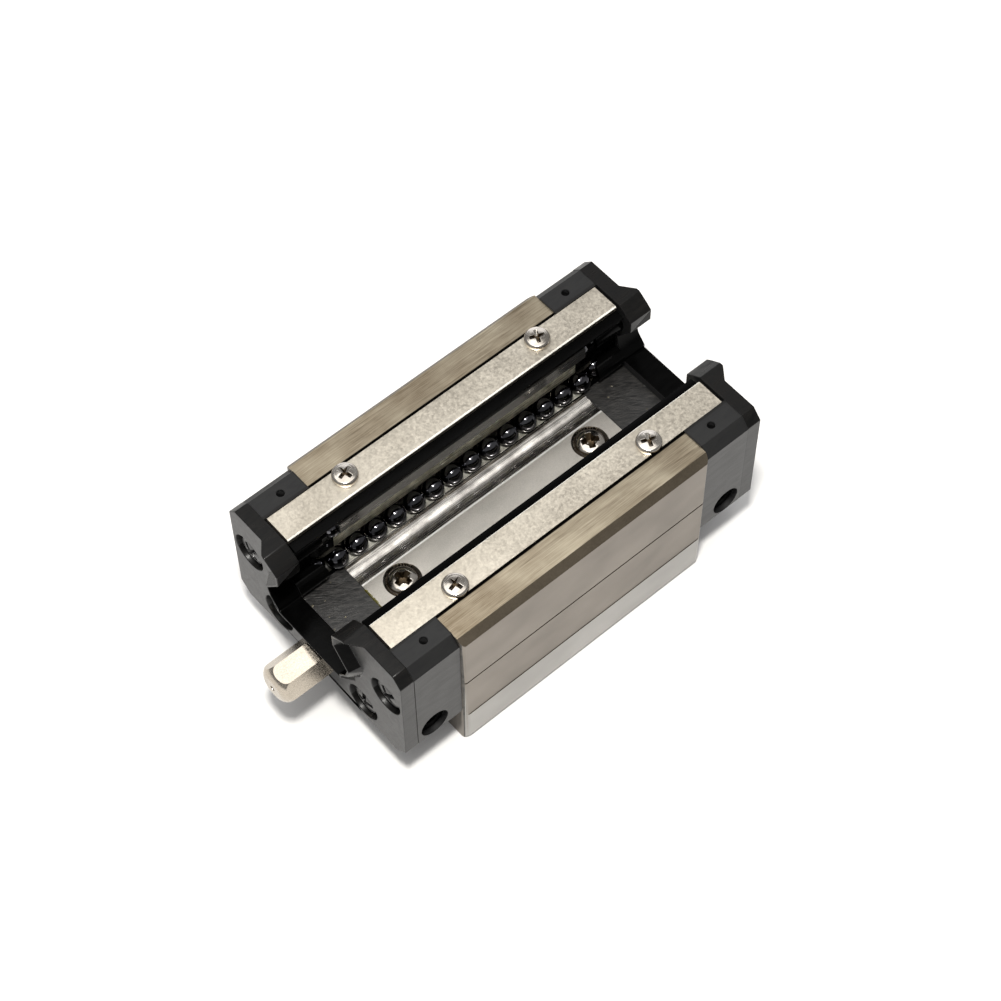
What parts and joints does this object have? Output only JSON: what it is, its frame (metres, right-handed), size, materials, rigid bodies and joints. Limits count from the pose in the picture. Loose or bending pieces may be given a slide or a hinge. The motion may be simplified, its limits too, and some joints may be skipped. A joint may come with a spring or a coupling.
{
  "type": "linear guide carriage",
  "caption": "Square recirculating-ball carriage for a profiled linear rail, with end caps, end seals, stainless cover plates and a grease nipple, lying on its mounting face.",
  "frame": {"origin": "centre of the mounting face, in the plane of that face", "axes": "+X along the rail, away from the grease nipple; +Y across the rail to the left; +Z away from the mounting face, so the rail channel opens upward"},
  "size_m": [0.0673, 0.034, 0.0256],
  "materials": {
    "ground_steel": "ground and brushed bearing steel",
    "stainless_plate": "brushed stainless sheet",
    "cap_plastic": "moulded black engineering plastic",
    "seal_rubber": "moulded black nitrile rubber on a steel core",
    "retainer_plastic": "black moulded plastic",
    "guide_plastic": "black moulded acetal",
    "ball_steel": "polished, oiled bearing steel",
    "nickel_screws": "nickel plated steel",
    "black_screws": "blackened steel",
    "nipple_nickel": "satin nickel plated brass",
    "spring_steel": "spring wire"
  },
  "bodies": {
    "carriage": {"carriage_block": "ground_steel", "end_cap_front": "cap_plastic", "end_cap_rear": "cap_plastic", "end_seal_front": "seal_rubber", "end_seal_rear": "seal_rubber", "turn_guides_front_left": "guide_plastic", "turn_guides_front_right": "guide_plastic", "turn_guides_rear_left": "guide_plastic", "turn_guides_rear_right": "guide_plastic", "lower_retainer_left": "retainer_plastic", "lower_retainer_right": "retainer_plastic", "upper_retainer_left": "retainer_plastic", "upper_retainer_right": "retainer_plastic", "side_seal_left": "seal_rubber", "side_seal_right": "seal_rubber", "cover_plate_left": "stainless_plate", "cover_plate_right": "stainless_plate", "plate_screws_left": "nickel_screws", "plate_screws_right": "nickel_screws", "end_screws_front": "black_screws", "end_screws_rear": "black_screws", "floor_screws": "nickel_screws", "side_port_plugs": "cap_plastic", "rear_port_plug": "black_screws", "grease_nipple": "nipple_nickel", "nipple_spring": "spring_steel"},
    "check_ball": {"nipple_check_ball": "ball_steel"},
    "loaded_row_lower_left": {"loaded_balls_lower_left": "ball_steel"},
    "return_row_lower_left": {"return_balls_lower_left": "ball_steel"},
    "front_turn_lower_left": {"front_turn_balls_lower_left": "ball_steel"},
    "rear_turn_lower_left": {"rear_turn_balls_lower_left": "ball_steel"},
    "loaded_row_upper_left": {"loaded_balls_upper_left": "ball_steel"},
    "return_row_upper_left": {"return_balls_upper_left": "ball_steel"},
    "front_turn_upper_left": {"front_turn_balls_upper_left": "ball_steel"},
    "rear_turn_upper_left": {"rear_turn_balls_upper_left": "ball_steel"},
    "loaded_row_lower_right": {"loaded_balls_lower_right": "ball_steel"},
    "return_row_lower_right": {"return_balls_lower_right": "ball_steel"},
    "front_turn_lower_right": {"front_turn_balls_lower_right": "ball_steel"},
    "rear_turn_lower_right": {"rear_turn_balls_lower_right": "ball_steel"},
    "loaded_row_upper_right": {"loaded_balls_upper_right": "ball_steel"},
    "return_row_upper_right": {"return_balls_upper_right": "ball_steel"},
    "front_turn_upper_right": {"front_turn_balls_upper_right": "ball_steel"},
    "rear_turn_upper_right": {"rear_turn_balls_upper_right": "ball_steel"}
  },
  "joints": [
    {"name": "check_ball_slide", "type": "slide", "parent": "carriage", "child": "check_ball", "axis": [1, 0, 0], "range_m": [0, 0.0005], "stiffness_N_per_m": 60, "deforming": ["nipple_spring"]},
    {"name": "loaded_row_lower_left_slide", "type": "slide", "parent": "carriage", "child": "loaded_row_lower_left", "axis": [1, 0, 0], "range_m": [-0.00156, 0.00156]},
    {"name": "return_row_lower_left_slide", "type": "slide", "parent": "carriage", "child": "return_row_lower_left", "axis": [1, 0, 0], "range_m": [-0.00156, 0.00156]},
    {"name": "front_turn_lower_left_hinge", "type": "hinge", "parent": "carriage", "child": "front_turn_lower_left", "pos_m": [-0.0214, 0.01002, 0.01411], "axis": [0, 0.1392, 0.9903], "range_deg": [-31.92, 31.92]},
    {"name": "rear_turn_lower_left_hinge", "type": "hinge", "parent": "carriage", "child": "rear_turn_lower_left", "pos_m": [0.0214, 0.01002, 0.01411], "axis": [0, 0.1392, 0.9903], "range_deg": [-31.92, 31.92]},
    {"name": "loaded_row_upper_left_slide", "type": "slide", "parent": "carriage", "child": "loaded_row_upper_left", "axis": [1, 0, 0], "range_m": [-0.00156, 0.00156]},
    {"name": "return_row_upper_left_slide", "type": "slide", "parent": "carriage", "child": "return_row_upper_left", "axis": [1, 0, 0], "range_m": [-0.00156, 0.00156]},
    {"name": "front_turn_upper_left_hinge", "type": "hinge", "parent": "carriage", "child": "front_turn_upper_left", "pos_m": [-0.0214, 0.0108, 0.02105], "axis": [0, -0.0175, 0.9998], "range_deg": [-31.92, 31.92]},
    {"name": "rear_turn_upper_left_hinge", "type": "hinge", "parent": "carriage", "child": "rear_turn_upper_left", "pos_m": [0.0214, 0.0108, 0.02105], "axis": [0, -0.0175, 0.9998], "range_deg": [-31.92, 31.92]},
    {"name": "loaded_row_lower_right_slide", "type": "slide", "parent": "carriage", "child": "loaded_row_lower_right", "axis": [1, 0, 0], "range_m": [-0.00156, 0.00156]},
    {"name": "return_row_lower_right_slide", "type": "slide", "parent": "carriage", "child": "return_row_lower_right", "axis": [1, 0, 0], "range_m": [-0.00156, 0.00156]},
    {"name": "front_turn_lower_right_hinge", "type": "hinge", "parent": "carriage", "child": "front_turn_lower_right", "pos_m": [-0.0214, -0.01002, 0.01411], "axis": [0, -0.1392, 0.9903], "range_deg": [-31.92, 31.92]},
    {"name": "rear_turn_lower_right_hinge", "type": "hinge", "parent": "carriage", "child": "rear_turn_lower_right", "pos_m": [0.0214, -0.01002, 0.01411], "axis": [0, -0.1392, 0.9903], "range_deg": [-31.92, 31.92]},
    {"name": "loaded_row_upper_right_slide", "type": "slide", "parent": "carriage", "child": "loaded_row_upper_right", "axis": [1, 0, 0], "range_m": [-0.00156, 0.00156]},
    {"name": "return_row_upper_right_slide", "type": "slide", "parent": "carriage", "child": "return_row_upper_right", "axis": [1, 0, 0], "range_m": [-0.00156, 0.00156]},
    {"name": "front_turn_upper_right_hinge", "type": "hinge", "parent": "carriage", "child": "front_turn_upper_right", "pos_m": [-0.0214, -0.0108, 0.02105], "axis": [0, 0.0175, 0.9998], "range_deg": [-31.92, 31.92]},
    {"name": "rear_turn_upper_right_hinge", "type": "hinge", "parent": "carriage", "child": "rear_turn_upper_right", "pos_m": [0.0214, -0.0108, 0.02105], "axis": [0, 0.0175, 0.9998], "range_deg": [-31.92, 31.92]}
  ],
  "couplings": [
    {"joint": "return_row_lower_left_slide", "follows": "loaded_row_lower_left_slide", "ratio": -1},
    {"joint": "front_turn_lower_left_hinge", "follows": "loaded_row_lower_left_slide", "rad_per_m": 357.14},
    {"joint": "rear_turn_lower_left_hinge", "follows": "loaded_row_lower_left_slide", "rad_per_m": 357.14},
    {"joint": "return_row_upper_left_slide", "follows": "loaded_row_upper_left_slide", "ratio": -1},
    {"joint": "front_turn_upper_left_hinge", "follows": "loaded_row_upper_left_slide", "rad_per_m": 357.14},
    {"joint": "rear_turn_upper_left_hinge", "follows": "loaded_row_upper_left_slide", "rad_per_m": 357.14},
    {"joint": "return_row_lower_right_slide", "follows": "loaded_row_lower_right_slide", "ratio": -1},
    {"joint": "front_turn_lower_right_hinge", "follows": "loaded_row_lower_right_slide", "rad_per_m": -357.14},
    {"joint": "rear_turn_lower_right_hinge", "follows": "loaded_row_lower_right_slide", "rad_per_m": -357.14},
    {"joint": "return_row_upper_right_slide", "follows": "loaded_row_upper_right_slide", "ratio": -1},
    {"joint": "front_turn_upper_right_hinge", "follows": "loaded_row_upper_right_slide", "rad_per_m": -357.14},
    {"joint": "rear_turn_upper_right_hinge", "follows": "loaded_row_upper_right_slide", "rad_per_m": -357.14}
  ]
}
